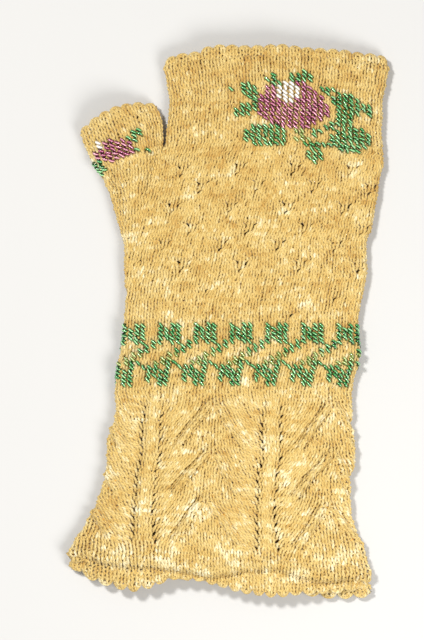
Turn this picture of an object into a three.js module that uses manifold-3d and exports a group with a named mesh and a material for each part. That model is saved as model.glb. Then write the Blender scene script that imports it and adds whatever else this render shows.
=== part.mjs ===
// A fingerless knitted evening mitten that lies flat, its fingers end towards +Y and its thumb towards -X.
// Every length is in millimetres. The underside rests on z = 0.
import * as THREE from 'three';
import { mergeVertices } from 'three/addons/utils/BufferGeometryUtils.js';
import Module from 'manifold-3d';

const wasm = await Module();
wasm.setup();

// Widths of the flattened tube.
const wristWidth = 96;
const mouthWidth = 122.9;
const handWidth = 88.3;
const fingerWidth = 91.3;
const gussetWidth = 26.3;
const thumbWidth = 34.3;

// Lengths of the stretches, from the cuff's mouth upwards.
const cuffHemDepth = 6.5;
const laceLength = 72.1;
const bandLength = 28.8;
const palmLength = 70;
const fingerLength = 32.8;
const fingerHemDepth = 2.8;
const thumbLength = 14.6;
const thumbHemDepth = 3.8;

// Thickness of the knitting, and how high the two layers stand.
const wall = 2;
const hemWall = 2.5;
const foldRadius = 2.7;
const crown = 10.6;
const thumbCrown = 9.8;
const gap = 0.3;

// Shape of the edges.
const mouthSlope = 0.073;
const edgeWave = 7;
const topArch = 5;
const thumbArch = 4.2;
const picotDepth = 1.1;
const thumbTilt = 21.8;
const valleyStart = 0.45;

// The knitting: stitches round the wrist, those of one picot, and the lace's repeat.
const stitches = 80;
const picotStitches = 2;
const laceRepeat = 20;
const thumbStitches = 28;
const spineStitch = 6;
const spineHalf = 1.4;
const eyeletRadius = 0.8;
const eyeletRows = 10;
const laceRelief = 0.45;

// Lace cuff, from the crease of its hem up to the band.
// rise: share of laceLength. flare: share of what the mouth is wider than the wrist. shift: share of wristWidth.
const laceTable = [
  { rise: 0, flare: 1, shift: -0.087 },
  { rise: 0.11, flare: 0.83, shift: -0.082 },
  { rise: 0.22, flare: 0.54, shift: -0.074 },
  { rise: 0.33, flare: 0.28, shift: -0.069 },
  { rise: 0.43, flare: 0.165, shift: -0.059 },
  { rise: 0.53, flare: 0.09, shift: -0.053 },
  { rise: 0.62, flare: 0.165, shift: -0.038 },
  { rise: 0.71, flare: 0.165, shift: -0.038 },
  { rise: 0.8, flare: 0.02, shift: -0.034 },
  { rise: 0.89, flare: -0.015, shift: -0.025 },
  { rise: 1, flare: 0, shift: -0.03 },
];

// Bead band. rise: share of bandLength. width and shift: shares of wristWidth.
const bandTable = [
  { rise: 0, width: 1, shift: -0.03 },
  { rise: 0.18, width: 1.004, shift: -0.021 },
  { rise: 0.38, width: 1.015, shift: -0.008 },
  { rise: 0.58, width: 1.01, shift: 0.001 },
  { rise: 0.77, width: 0.99, shift: 0.002 },
  { rise: 1, width: 0.99, shift: 0.005 },
];

// Hand beside the gusset. rise: share of palmLength. narrow: share of the way from the wrist's width to the
// hand's. gusset: share of gussetWidth. shift: share of wristWidth.
const palmTable = [
  { rise: 0, narrow: 0.13, gusset: 0, shift: 0.005 },
  { rise: 0.09, narrow: 0.1, gusset: 0, shift: 0.011 },
  { rise: 0.17, narrow: 0.03, gusset: 0.04, shift: 0.024 },
  { rise: 0.27, narrow: 0.09, gusset: 0.12, shift: 0.04 },
  { rise: 0.36, narrow: 0.32, gusset: 0.185, shift: 0.048 },
  { rise: 0.45, narrow: 0.56, gusset: 0.25, shift: 0.056 },
  { rise: 0.54, narrow: 0.49, gusset: 0.374, shift: 0.077 },
  { rise: 0.64, narrow: 0.55, gusset: 0.5, shift: 0.092 },
  { rise: 0.73, narrow: 0.62, gusset: 0.618, shift: 0.107 },
  { rise: 0.82, narrow: 0.73, gusset: 0.737, shift: 0.12 },
  { rise: 0.91, narrow: 0.74, gusset: 0.87, shift: 0.137 },
  { rise: 1, narrow: 1, gusset: 1, shift: 0.143 },
];

// Hand above the thumb. rise: share of fingerLength. width: share of the way from handWidth to fingerWidth.
const fingerTable = [
  { rise: 0, width: 0, shift: 0.143 },
  { rise: 0.21, width: -0.27, shift: 0.143 },
  { rise: 0.41, width: -0.4, shift: 0.15 },
  { rise: 0.6, width: -0.5, shift: 0.152 },
  { rise: 0.8, width: 0.4, shift: 0.154 },
  { rise: 1, width: 1.2, shift: 0.153 },
];

// Thumb, from where its stitches are picked up. rise: share of thumbLength. width and shift: shares of thumbWidth.
const thumbTable = [
  { rise: 0, width: 0.82, shift: -0.008 },
  { rise: 0.3, width: 0.9, shift: 0.005 },
  { rise: 0.65, width: 0.97, shift: 0.024 },
  { rise: 1, width: 0.99, shift: 0.03 },
];

// Lower edge of the cuff. across: share of the mouth from the left. drop: share of edgeWave.
const mouthEdge = [
  { across: 0, drop: -0.1 },
  { across: 0.11, drop: 0.72 },
  { across: 0.21, drop: 1 },
  { across: 0.27, drop: 0.75 },
  { across: 0.345, drop: 0.2 },
  { across: 0.44, drop: 0.19 },
  { across: 0.5, drop: 0.4 },
  { across: 0.575, drop: 0.66 },
  { across: 0.68, drop: 0.75 },
  { across: 0.76, drop: 0.53 },
  { across: 0.87, drop: 0.29 },
  { across: 1, drop: -0.1 },
];

// Upper edge of the hand. across: share of the opening from the left. lift: share of topArch.
const fingerEdge = [
  { across: 0, lift: -0.1 },
  { across: 0.05, lift: 0.5 },
  { across: 0.16, lift: 0.68 },
  { across: 0.19, lift: 1.02 },
  { across: 0.25, lift: 1.2 },
  { across: 0.39, lift: 1.08 },
  { across: 0.52, lift: 1.2 },
  { across: 0.65, lift: 0.92 },
  { across: 0.78, lift: 0.82 },
  { across: 0.87, lift: 0.6 },
  { across: 0.96, lift: 0.48 },
  { across: 1, lift: -0.05 },
];

// The heights where one stretch ends and the next begins.
const laceStart = cuffHemDepth;
const bandStart = laceStart + laceLength;
const handStart = bandStart + bandLength;
const crotchHeight = handStart + palmLength;
const fingerHemStart = crotchHeight + fingerLength;

// Value of one column of a table at a place along its first column, read as a smooth curve through the rows.
function read(table, along, column, where) {
  const last = table.length - 1;
  const place = Math.min(Math.max(where, table[0][along]), table[last][along]);
  let row = 0;
  while (row < last - 1 && place > table[row + 1][along]) {
    row += 1;
  }
  const start = table[row];
  const end = table[row + 1];
  const share = (place - start[along]) / (end[along] - start[along]);
  const eased = share * share * (3 - 2 * share);
  const mixed = 0.5 * share + 0.5 * eased;
  return start[column] + (end[column] - start[column]) * mixed;
}

function smooth(from, to, value) {
  const share = Math.min(Math.max((value - from) / (to - from), 0), 1);
  return share * share * (3 - 2 * share);
}

// Edges of the flat tube at a height: left edge, right edge, and the line where the gusset meets the hand.
function edgesAt(height) {
  if (height < bandStart) {
    const rise = (height - laceStart) / laceLength;
    const width = wristWidth + (mouthWidth - wristWidth) * read(laceTable, 'rise', 'flare', rise);
    const middle = wristWidth * read(laceTable, 'rise', 'shift', rise);
    return { left: middle - width / 2, bound: middle - width / 2, right: middle + width / 2 };
  }
  if (height < handStart) {
    const rise = (height - bandStart) / bandLength;
    const width = wristWidth * read(bandTable, 'rise', 'width', rise);
    const middle = wristWidth * read(bandTable, 'rise', 'shift', rise);
    return { left: middle - width / 2, bound: middle - width / 2, right: middle + width / 2 };
  }
  if (height <= crotchHeight) {
    const rise = (height - handStart) / palmLength;
    const width = wristWidth + (handWidth - wristWidth) * read(palmTable, 'rise', 'narrow', rise);
    const middle = wristWidth * read(palmTable, 'rise', 'shift', rise);
    const bound = middle - width / 2;
    const gusset = gussetWidth * read(palmTable, 'rise', 'gusset', rise);
    return { left: bound - gusset, bound, right: middle + width / 2 };
  }
  const rise = (height - crotchHeight) / fingerLength;
  const width = handWidth + (fingerWidth - handWidth) * read(fingerTable, 'rise', 'width', rise);
  const middle = wristWidth * read(fingerTable, 'rise', 'shift', rise);
  return { left: middle - width / 2, bound: middle - width / 2, right: middle + width / 2 };
}

// How full the flat tube stands at a share of its half width, 1 in the middle and 0 at the folds.
function hump(share) {
  return Math.max(0, 1 - Math.abs(share) ** 2.4);
}

function humpBetween(x, from, to) {
  const half = (to - from) / 2 - foldRadius;
  return hump((x - (from + to) / 2) / Math.max(half, foldRadius));
}

// Height of the upper layer's outer face. Towards the crotch it sinks between the hand and the gusset.
function topAt(x, height) {
  const edges = edgesAt(height);
  const low = 2 * foldRadius;
  const wide = (crown - low) * humpBetween(x, edges.left, edges.right);
  if (edges.bound - edges.left < foldRadius) {
    return low + wide;
  }
  const split = smooth(handStart + valleyStart * palmLength, crotchHeight, height);
  const own = x > edges.bound
    ? (crown - low) * humpBetween(x, edges.bound, edges.right)
    : (thumbCrown - low) * humpBetween(x, edges.left, edges.bound);
  return low + wide * (1 - split) + own * split;
}

// A course of the knitting: its place along Y at each x.
function courseAt(height) {
  const edges = edgesAt(height);
  const middle = (edges.bound + edges.right) / 2;
  const low = 1 - Math.min(Math.max((height - laceStart) / laceLength, 0), 1);
  const high = smooth(crotchHeight - palmLength / 2, fingerHemStart, height);
  const tilt = Math.tan(THREE.MathUtils.degToRad(thumbTilt));
  const slant = tilt * Math.min(Math.max((height - handStart) / palmLength, 0), 1);
  return (x) => {
    const share = Math.min(Math.abs(x - middle) / ((edges.right - edges.bound) / 2), 1);
    const arch = high * topArch * 0.7 * (1 - share * share);
    const drop = x < edges.bound ? slant * (edges.bound - x) : 0;
    return height - low * mouthSlope * (x - middle) + arch - drop;
  };
}

// One ring of points round the flat tube, seen along Y: underside, right fold, upper layer, left fold.
// A cut side has a straight wall instead of a fold. inset draws the ring in by the thickness of the knitting.
function ring(section, counts, inset) {
  const radius = foldRadius - inset;
  const left = section.left + inset;
  const right = section.right - inset;
  const flatLeft = section.leftCut ? left : left + radius;
  const flatRight = section.rightCut ? right : right - radius;
  const points = [];
  const put = (x, z) => points.push(new THREE.Vector3(x, section.course(x), z));
  for (let i = 0; i < counts.under; i += 1) {
    put(THREE.MathUtils.lerp(flatLeft, flatRight, i / counts.under), inset);
  }
  for (let i = 0; i < counts.fold; i += 1) {
    const turn = (Math.PI * i) / counts.fold;
    if (section.rightCut) {
      put(right, THREE.MathUtils.lerp(inset, section.top(right) - inset, i / counts.fold));
    } else {
      put(flatRight + radius * Math.sin(turn), foldRadius - radius * Math.cos(turn));
    }
  }
  for (let i = 0; i < counts.upper; i += 1) {
    const x = THREE.MathUtils.lerp(flatRight, flatLeft, i / counts.upper);
    put(x, section.top(x) - inset);
  }
  for (let i = 0; i < counts.fold; i += 1) {
    const turn = (Math.PI * i) / counts.fold;
    if (section.leftCut) {
      put(left, THREE.MathUtils.lerp(section.top(left) - inset, inset, i / counts.fold));
    } else {
      put(flatLeft - radius * Math.sin(turn), foldRadius + radius * Math.cos(turn));
    }
  }
  return points;
}

function toGeometry(positions, index) {
  const geometry = new THREE.BufferGeometry();
  geometry.setAttribute('position', new THREE.Float32BufferAttribute(positions, 3));
  geometry.setIndex(index);
  return geometry;
}

function flatten(rings) {
  return rings.flat().flatMap((point) => [point.x, point.y, point.z]);
}

// An open-ended tube with a wall: outer rings and inner rings run the same way and are joined at both rims.
function tube(outer, inner) {
  const around = outer[0].length;
  const layers = outer.length;
  const positions = flatten([...outer, ...inner]);
  const index = [];
  const at = (layer, i) => layer * around + (i % around);
  const quad = (a, b, c, d) => index.push(a, b, c, a, c, d);
  for (let i = 0; i < around; i += 1) {
    for (let layer = 0; layer < layers - 1; layer += 1) {
      quad(at(layer, i + 1), at(layer, i), at(layer + 1, i), at(layer + 1, i + 1));
      quad(at(layers + layer, i), at(layers + layer, i + 1), at(layers + layer + 1, i + 1), at(layers + layer + 1, i));
    }
    quad(at(0, i), at(0, i + 1), at(layers, i + 1), at(layers, i));
    quad(at(layers - 1, i + 1), at(layers - 1, i), at(2 * layers - 1, i), at(2 * layers - 1, i + 1));
  }
  return toGeometry(positions, index);
}

// A closed block lofted through rings, each end closed by a fan round its middle.
function block(rings) {
  const around = rings[0].length;
  const positions = flatten(rings);
  const index = [];
  const at = (layer, i) => layer * around + (i % around);
  const last = rings.length - 1;
  const centre = (points) => points.reduce((sum, p) => sum.add(p), new THREE.Vector3()).divideScalar(around);
  const first = centre(rings[0]);
  const end = centre(rings[last]);
  positions.push(first.x, first.y, first.z, end.x, end.y, end.z);
  const firstAt = rings.length * around;
  for (let i = 0; i < around; i += 1) {
    for (let layer = 0; layer < last; layer += 1) {
      index.push(at(layer, i + 1), at(layer, i), at(layer + 1, i));
      index.push(at(layer, i + 1), at(layer + 1, i), at(layer + 1, i + 1));
    }
    index.push(at(0, i), at(0, i + 1), firstAt);
    index.push(at(last, i + 1), at(last, i), firstAt + 1);
  }
  return toGeometry(positions, index);
}

function toSolid(geometry) {
  const bare = geometry.clone();
  bare.deleteAttribute('normal');
  bare.deleteAttribute('uv');
  const merged = mergeVertices(bare, 1e-4);
  const vertProperties = new Float32Array(merged.attributes.position.array);
  const triVerts = new Uint32Array(merged.index.array);
  return new wasm.Manifold(new wasm.Mesh({ numProp: 3, vertProperties, triVerts }));
}

function fromSolid(solid) {
  const mesh = solid.getMesh();
  return toGeometry(Array.from(mesh.vertProperties), Array.from(mesh.triVerts));
}

const group = new THREE.Group();
group.name = 'evening_mitten';

function addPiece(name, geometry, colour) {
  const material = new THREE.MeshStandardMaterial({ color: colour, roughness: 0.85, metalness: 0 });
  const mesh = new THREE.Mesh(geometry, material);
  mesh.name = name;
  group.add(mesh);
  return mesh;
}

const goldYarn = '#dcb870';
const plain = { under: 8, fold: 4, upper: 20 };

function bodySection(height) {
  const edges = edgesAt(height);
  return {
    left: edges.left,
    right: edges.right,
    top: (x) => topAt(x, height),
    course: courseAt(height),
  };
}

function heights(from, to, steps) {
  return Array.from({ length: steps + 1 }, (_, i) => THREE.MathUtils.lerp(from, to, i / steps));
}

// Lace cuff: leaves stand up a little between the spines, and eyelets go through beside each spine.
const laceStitch = stitches / 2;

function laceSection(height) {
  const section = bodySection(height);
  const plainTop = section.top;
  section.top = (x) => {
    const stitch = laceStitch * (x - section.left) / (section.right - section.left);
    const wave = Math.cos((2 * Math.PI * (stitch - spineStitch)) / laceRepeat);
    const edge = smooth(0, laceRepeat / 8, Math.min(stitch, laceStitch - stitch));
    const end = smooth(laceStart, laceStart + laceLength * 0.12, height);
    const close = 1 - smooth(bandStart - laceLength * 0.12, bandStart, height);
    return plainTop(x) - laceRelief * wave * edge * end * close;
  };
  return section;
}

const laceCounts = { under: 8, fold: 4, upper: 24 };
const laceSections = heights(laceStart + gap, bandStart - gap / 2, 11).map(laceSection);
let lace = toSolid(tube(
  laceSections.map((section) => ring(section, laceCounts, 0)),
  laceSections.map((section) => ring(section, laceCounts, wall)),
));
const eyeletGap = (laceLength * 0.93) / eyeletRows;
for (let spine = spineStitch; spine < laceStitch; spine += laceRepeat) {
  for (let row = 0; row < eyeletRows; row += 1) {
    for (const side of [-1, 1]) {
      const height = laceStart + laceLength * 0.05 + eyeletGap * (row + 0.5 + side * 0.18);
      const edges = edgesAt(height);
      const x = THREE.MathUtils.lerp(edges.left, edges.right, (spine + side * spineHalf) / laceStitch);
      const eyelet = new THREE.CylinderGeometry(eyeletRadius, eyeletRadius, 4 * crown, 4);
      eyelet.rotateX(Math.PI / 2);
      eyelet.translate(x, courseAt(height)(x), 0);
      lace = lace.subtract(toSolid(eyelet));
    }
  }
}
addPiece('lace_cuff', fromSolid(lace), goldYarn);

// Bead band.
const bandSections = heights(bandStart + gap / 2, handStart - gap / 2, 4).map(bodySection);
addPiece('bead_band', tube(
  bandSections.map((section) => ring(section, plain, 0)),
  bandSections.map((section) => ring(section, plain, wall)),
), goldYarn);

// The gusset begins where it is as wide as the fold of the knitting.
let gussetRise = 0;
while (gussetWidth * read(palmTable, 'rise', 'gusset', gussetRise) < foldRadius * 1.2) {
  gussetRise += 0.005;
}
const gussetStart = handStart + palmLength * gussetRise;

// Hand: a tube that is cut straight where the gusset meets it, and folded elsewhere.
function handSection(height, cut) {
  const section = bodySection(height);
  if (cut) {
    section.left = edgesAt(height).bound + gap / 2;
    section.leftCut = true;
  }
  return section;
}

const handSections = [
  ...heights(handStart + gap / 2, gussetStart - gap, 2).map((height) => handSection(height, false)),
  ...heights(gussetStart - gap / 2, crotchHeight - gap, 6).map((height) => handSection(height, true)),
  ...heights(crotchHeight + gap, fingerHemStart - gap / 2, 5).map((height) => handSection(height, false)),
];
let hand = toSolid(tube(
  handSections.map((section) => ring(section, plain, 0)),
  handSections.map((section) => ring(section, plain, wall)),
));

// The way from the hand into the gusset, between the two layers.
const slot = heights(gussetStart + wall, crotchHeight - wall, 7).map((height) => {
  const bound = edgesAt(height).bound;
  const course = courseAt(height);
  const corner = (x, z) => new THREE.Vector3(x, course(Math.max(x, bound)), z);
  const roof = (x) => topAt(Math.max(x, bound), height) - wall;
  const outside = bound - foldRadius;
  const inside = bound + 2 * wall;
  return [corner(outside, wall), corner(inside, wall), corner(inside, roof(inside)), corner(outside, roof(outside))];
});
hand = hand.subtract(toSolid(block(slot)));
addPiece('hand', fromSolid(hand), goldYarn);

// Thumb gusset: both layers and the left fold, open towards the hand and towards the thumb.
const gussetCounts = { under: 4, fold: 4, upper: 8 };

function gussetSection(height, extra) {
  const edges = edgesAt(height);
  return {
    left: edges.left,
    right: edges.bound - gap / 2 + extra,
    rightCut: true,
    top: (x) => topAt(Math.min(x, edges.bound - gap / 2), height),
    course: courseAt(height),
  };
}

const gussetHeights = heights(gussetStart + gap, crotchHeight, 8);
const gussetOuter = toSolid(block(gussetHeights.map((height) => ring(gussetSection(height, 0), gussetCounts, 0))));
const hollowHeights = heights(gussetStart + 3 * wall, crotchHeight, 7);
const hollowRings = hollowHeights.map((height) => ring(gussetSection(height, 2 * wall), gussetCounts, wall));
const lastRing = hollowRings[hollowRings.length - 1];
hollowRings.push(lastRing.map((point) => point.clone().add(new THREE.Vector3(0, wall, 0))));
const gusset = gussetOuter.subtract(toSolid(block(hollowRings)));
addPiece('thumb_gusset', fromSolid(gusset), goldYarn);

// Thumb: a short tube square to the line where its stitches are picked up.
const crotchEdges = edgesAt(crotchHeight);
const pickUp = new THREE.Vector3(
  (crotchEdges.left + crotchEdges.bound) / 2,
  courseAt(crotchHeight)((crotchEdges.left + crotchEdges.bound) / 2),
  0,
);
const thumbTurn = THREE.MathUtils.degToRad(thumbTilt);

function thumbCourse(height) {
  const bow = 0.5 * thumbArch * Math.min(height / thumbLength, 1);
  return (x) => height + bow * Math.max(0, 1 - (2 * x / thumbWidth) ** 2);
}

function thumbSection(height, edge) {
  const rise = height / thumbLength;
  const width = thumbWidth * (rise > 1 ? 1 : read(thumbTable, 'rise', 'width', rise));
  const middle = thumbWidth * read(thumbTable, 'rise', 'shift', rise);
  const left = middle - width / 2;
  const right = middle + width / 2;
  return {
    left,
    right,
    top: (x) => 2 * foldRadius + (thumbCrown - 2 * foldRadius) * humpBetween(x, left, right),
    course: edge || thumbCourse(height),
  };
}

function placeThumb(mesh) {
  mesh.position.copy(pickUp);
  mesh.rotation.z = thumbTurn;
}

const thumbSections = heights(gap, thumbLength - gap / 2, 4).map((height) => thumbSection(height));
placeThumb(addPiece('thumb', tube(
  thumbSections.map((section) => ring(section, plain, 0)),
  thumbSections.map((section) => ring(section, plain, wall)),
), goldYarn));

// One edge of picots: each is a round tooth of two stitches.
function picots(share, count) {
  return picotDepth * Math.abs(Math.sin(Math.PI * share * count)) ** 0.7;
}

const thumbPicots = thumbStitches / picotStitches / 2;
const bodyPicots = stitches / picotStitches / 2;
const thumbHemCounts = { under: thumbPicots * 3, fold: 4, upper: thumbPicots * 3 };
const bodyHemCounts = { under: bodyPicots * 3, fold: 4, upper: bodyPicots * 3 };

function thumbRim(share) {
  const below = thumbCourse(thumbLength + gap / 2);
  return (x) => {
    const across = x / thumbWidth + 0.5;
    const arch = 0.5 * thumbArch * Math.max(0, 1 - (2 * x / thumbWidth) ** 2);
    const teeth = share === 1 ? picots(across, thumbPicots) : 0;
    return below(x) + share * (thumbHemDepth - picotDepth + arch) + teeth;
  };
}

const thumbHemSections = [0, 0.5, 1].map((share) => thumbSection(thumbLength + share, thumbRim(share)));
placeThumb(addPiece('thumb_hem', tube(
  thumbHemSections.map((section) => ring(section, thumbHemCounts, 0)),
  thumbHemSections.map((section) => ring(section, thumbHemCounts, hemWall)),
), goldYarn));

// Finger hem: follows the hand's last course below and the arched, scalloped edge above.
function fingerRim(share) {
  const edges = edgesAt(fingerHemStart);
  const below = courseAt(fingerHemStart);
  return (x) => {
    const across = Math.min(Math.max((x - edges.left) / (edges.right - edges.left), 0), 1);
    const rim = fingerHemStart + fingerHemDepth - picotDepth + topArch * read(fingerEdge, 'across', 'lift', across);
    const teeth = share === 1 ? picots(across, bodyPicots) : 0;
    return THREE.MathUtils.lerp(below(x) + gap / 2, rim, share) + teeth;
  };
}

const fingerHemSections = [0, 0.5, 1].map((share) => {
  const section = bodySection(fingerHemStart);
  section.course = fingerRim(share);
  return section;
});
addPiece('finger_hem', tube(
  fingerHemSections.map((section) => ring(section, bodyHemCounts, 0)),
  fingerHemSections.map((section) => ring(section, bodyHemCounts, hemWall)),
), goldYarn);

// Cuff hem: hangs in waves below the lace. The underside's edge waves less than the upper one's.
function mouthRim(share, under) {
  const edges = edgesAt(laceStart);
  const above = courseAt(laceStart);
  const wave = edgeWave * (under ? 0.55 : 1);
  return (x) => {
    const across = Math.min(Math.max((x - edges.left) / (edges.right - edges.left), 0), 1);
    const drop = (cuffHemDepth - picotDepth) / 2 + wave * read(mouthEdge, 'across', 'drop', across);
    const teeth = share === 1 ? picots(across, bodyPicots) : 0;
    return above(x) - share * drop - teeth;
  };
}

function mouthRing(share, inset) {
  const section = bodySection(laceStart);
  section.course = mouthRim(share, false);
  const upper = ring(section, bodyHemCounts, inset);
  section.course = mouthRim(share, true);
  const lower = ring(section, bodyHemCounts, inset);
  return upper.map((point, i) => {
    const side = smooth(0, 2 * foldRadius, point.z);
    return point.clone().lerp(lower[i], 1 - side);
  });
}

addPiece('cuff_hem', tube(
  [1, 0.5, 0].map((share) => mouthRing(share, 0)),
  [1, 0.5, 0].map((share) => mouthRing(share, hemWall)),
), goldYarn);

// The origin lies under the middle of the whole mitten.
group.updateMatrixWorld(true);
const bounds = new THREE.Box3().setFromObject(group, true);
group.position.set(-(bounds.min.x + bounds.max.x) / 2, -(bounds.min.y + bounds.max.y) / 2, -bounds.min.z);

export default group;
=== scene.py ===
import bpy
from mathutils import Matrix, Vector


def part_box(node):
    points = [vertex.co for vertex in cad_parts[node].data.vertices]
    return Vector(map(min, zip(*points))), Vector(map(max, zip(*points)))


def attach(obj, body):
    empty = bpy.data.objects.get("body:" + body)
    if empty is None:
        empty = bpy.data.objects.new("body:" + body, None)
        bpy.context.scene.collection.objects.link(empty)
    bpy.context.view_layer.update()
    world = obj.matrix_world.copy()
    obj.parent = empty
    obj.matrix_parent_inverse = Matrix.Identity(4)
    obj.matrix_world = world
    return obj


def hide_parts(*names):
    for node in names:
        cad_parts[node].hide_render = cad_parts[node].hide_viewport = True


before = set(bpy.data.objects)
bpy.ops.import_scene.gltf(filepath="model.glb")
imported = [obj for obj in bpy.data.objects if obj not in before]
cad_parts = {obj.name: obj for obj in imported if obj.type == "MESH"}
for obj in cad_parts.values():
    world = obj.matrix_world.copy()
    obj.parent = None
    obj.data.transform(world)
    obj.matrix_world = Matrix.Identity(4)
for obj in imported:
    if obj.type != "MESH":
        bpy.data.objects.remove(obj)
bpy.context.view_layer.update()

import math

import bpy
import numpy as np
from mathutils import Vector

MM = 0.001
chance = np.random.default_rng(7)

# Driving sizes of the mitten in millimetres, as in its solids
WRIST_WIDTH = 96.0
MOUTH_WIDTH = 122.9
HAND_WIDTH = 88.3
FINGER_WIDTH = 91.3
GUSSET_WIDTH = 26.3
THUMB_WIDTH = 34.3
CUFF_HEM_DEPTH = 6.5
LACE_LENGTH = 72.1
BAND_LENGTH = 28.8
PALM_LENGTH = 70.0
FINGER_LENGTH = 32.8
FINGER_HEM_DEPTH = 2.8
THUMB_LENGTH = 14.6
THUMB_HEM_DEPTH = 3.8
WALL = 2.0
FOLD_RADIUS = 2.7
CROWN = 10.6
THUMB_CROWN = 9.8
MOUTH_SLOPE = 0.073
EDGE_WAVE = 7.0
TOP_ARCH = 5.0
THUMB_ARCH = 4.2
PICOT_DEPTH = 1.1
THUMB_TILT = math.radians(21.8)

LACE_START = CUFF_HEM_DEPTH
BAND_START = LACE_START + LACE_LENGTH
HAND_START = BAND_START + BAND_LENGTH
CROTCH = HAND_START + PALM_LENGTH
FINGER_HEM_START = CROTCH + FINGER_LENGTH

# Stitches and rows
FACE = 40
ROUND = 2 * FACE
FINGER_ROUND = 72
THUMB_FACE = 14
LACE_ROWS = 44
BAND_ROWS = 17
PALM_ROWS = 42
FINGER_ROWS = 20
THUMB_ROWS = 9
CUFF_HEM_ROWS = 8
FINGER_HEM_ROWS = 5
THUMB_HEM_ROWS = 5
BAND_ROW = LACE_ROWS
PALM_ROW = BAND_ROW + BAND_ROWS
FINGER_ROW = PALM_ROW + PALM_ROWS
ALL_ROWS = FINGER_ROW + FINGER_ROWS
GUSSET_STITCH = 2.35

# Yarn and loops: radius and depths in millimetres, spread and wobble as shares of a stitch
YARN = 0.58
YARN_UNEVEN = 0.1
YARN_THINNEST = 0.75
YARN_THICKEST = 1.3
WOBBLE = 0.075
# How deep the sheet of painted shade lies behind the stitches
SHADE_SHEET_DEPTH = 0.62
LEG_DEPTH = 0.46
UNEVEN_DEPTH = 0.05
JOINED_LIFT = 0.22
HOLE_LEG = 0.15
LOOP_SPREAD = 0.2
LOOP_OVERLAP = 1.05
LEAST_PITCH = 1.5
STRAND_GAP = 3.7
UV_SCALE = 0.1

# How the cloth lies
UNDER_HEIGHT = 1.8
BEAD_LIFT = 0.6
LIFT_EASE = 4.0
HUMP_POWER = 2.4
ROW_ARCH = 0.7
HALF_GAP = 0.15
FLARE_DRAW = 2.85
FLARE_TURN = 1.2
DIP_START = 7.0
SPLIT_START = 0.45

# Leaf lace: one leaf to 20 stitches and 12 rows, with a hole on each side of a spine of three stitches
LEAF = 20
FIRST_SPINE = 6
SPINE_SIDE = 2
LACE_PLAIN = 6
LEAF_ROWS = 12
PATTERN_ROWS = 3 * LEAF_ROWS
LEAF_DECREASES = (5, 6, 7, 8, 9, 10)
LEAF_LINE_START = 4.6
LEAF_RIB = 1.0
RIB_WIDTH = 1.9
RIB_REACH = 1.7
SPINE_DEPTH = 0.9
HOLE_REACH = 0.8
UNDER_RELIEF = 0.3
HOLE_WIDTH = 1.9
JOIN_WIDTH = 0.9
SPINE_WIDTH = 0.7

# Hems: the cloth runs out to a scalloped rim, turns in over it and comes back inside
TURN_RADIUS = 0.55
HEM_RETURN = 3.0
CUFF_SCALLOP = 4.0
TOP_SCALLOP = 1.7
SCALLOP_POWER = 0.7
SCALLOP_LEVEL = 0.65
SCALLOP_EVEN = 0.45
SCALLOP_PINCH = 0.05
PINCH_REACH = 1.6
HEM_GROOVE = 2.2
GROOVE_WIDTH = 1.1
TOP_GROOVE = 0.3
HEM_STEP = 1.2
HEM_ROLL = 1.3
ROLL_RISE = 3.2
ROLL_WIDTH = 2.0
UNDER_WAVE = 0.55
UNDER_PEEP = 0.4
HEM_LEG_DEPTH = 0.3
HEM_YARN = 0.95
HEM_OVERLAP = 0.78
# A share of the hem that stands for the very edge of its fold
RIM = -1.0
RIM_STEPS = 6
RIM_YARN = 0.62
RIM_UNEVEN = 0.12

# Columns: rise, flare, shift
LACE_TABLE = np.array([
    (0.00, 1.000, -0.087), (0.11, 0.830, -0.082), (0.22, 0.540, -0.074), (0.33, 0.280, -0.069),
    (0.43, 0.165, -0.059), (0.53, 0.090, -0.053), (0.62, 0.165, -0.038), (0.71, 0.165, -0.038),
    (0.80, 0.020, -0.034), (0.89, -0.015, -0.025), (1.00, 0.000, -0.030)])
# Columns: rise, width, shift
BAND_TABLE = np.array([
    (0.00, 1.000, -0.030), (0.18, 1.004, -0.021), (0.38, 1.015, -0.008), (0.58, 1.010, 0.001),
    (0.77, 0.990, 0.002), (1.00, 0.990, 0.005)])
# Columns: rise, narrow, shift, gusset
PALM_TABLE = np.array([
    (0.00, 0.13, 0.005, 0.000), (0.09, 0.10, 0.011, 0.000), (0.17, 0.03, 0.024, 0.040),
    (0.27, 0.09, 0.040, 0.120), (0.36, 0.32, 0.048, 0.185), (0.45, 0.56, 0.056, 0.250),
    (0.54, 0.49, 0.077, 0.374), (0.64, 0.55, 0.092, 0.500), (0.73, 0.62, 0.107, 0.618),
    (0.82, 0.73, 0.120, 0.737), (0.91, 0.74, 0.137, 0.870), (1.00, 1.00, 0.143, 1.000)])
# Columns: rise, width, shift
FINGER_TABLE = np.array([
    (0.00, 0.00, 0.143), (0.21, -0.27, 0.143), (0.41, -0.40, 0.150), (0.60, -0.50, 0.152),
    (0.80, 0.40, 0.154), (1.00, 1.20, 0.153)])
# Columns: rise, width, shift
THUMB_TABLE = np.array([
    (0.00, 0.82, -0.008), (0.30, 0.90, 0.005), (0.65, 0.97, 0.024), (1.00, 0.99, 0.030)])
# Columns: across, drop
MOUTH_EDGE = np.array([
    (0.00, -0.10), (0.11, 0.72), (0.21, 1.00), (0.27, 0.75), (0.345, 0.20), (0.44, 0.19),
    (0.50, 0.40), (0.575, 0.66), (0.68, 0.75), (0.76, 0.53), (0.87, 0.29), (1.00, -0.10)])
# Columns: across, how far below the lace the cuff's hem is sewn down, in millimetres
SEWN_LINE = np.array([
    (0.00, 1.5), (0.10, 2.5), (0.22, 2.0), (0.33, 3.0), (0.43, 4.0), (0.50, 2.5),
    (0.57, 0.3), (0.70, -0.6), (0.79, 1.5), (0.87, 2.8), (1.00, 0.0)])
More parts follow.
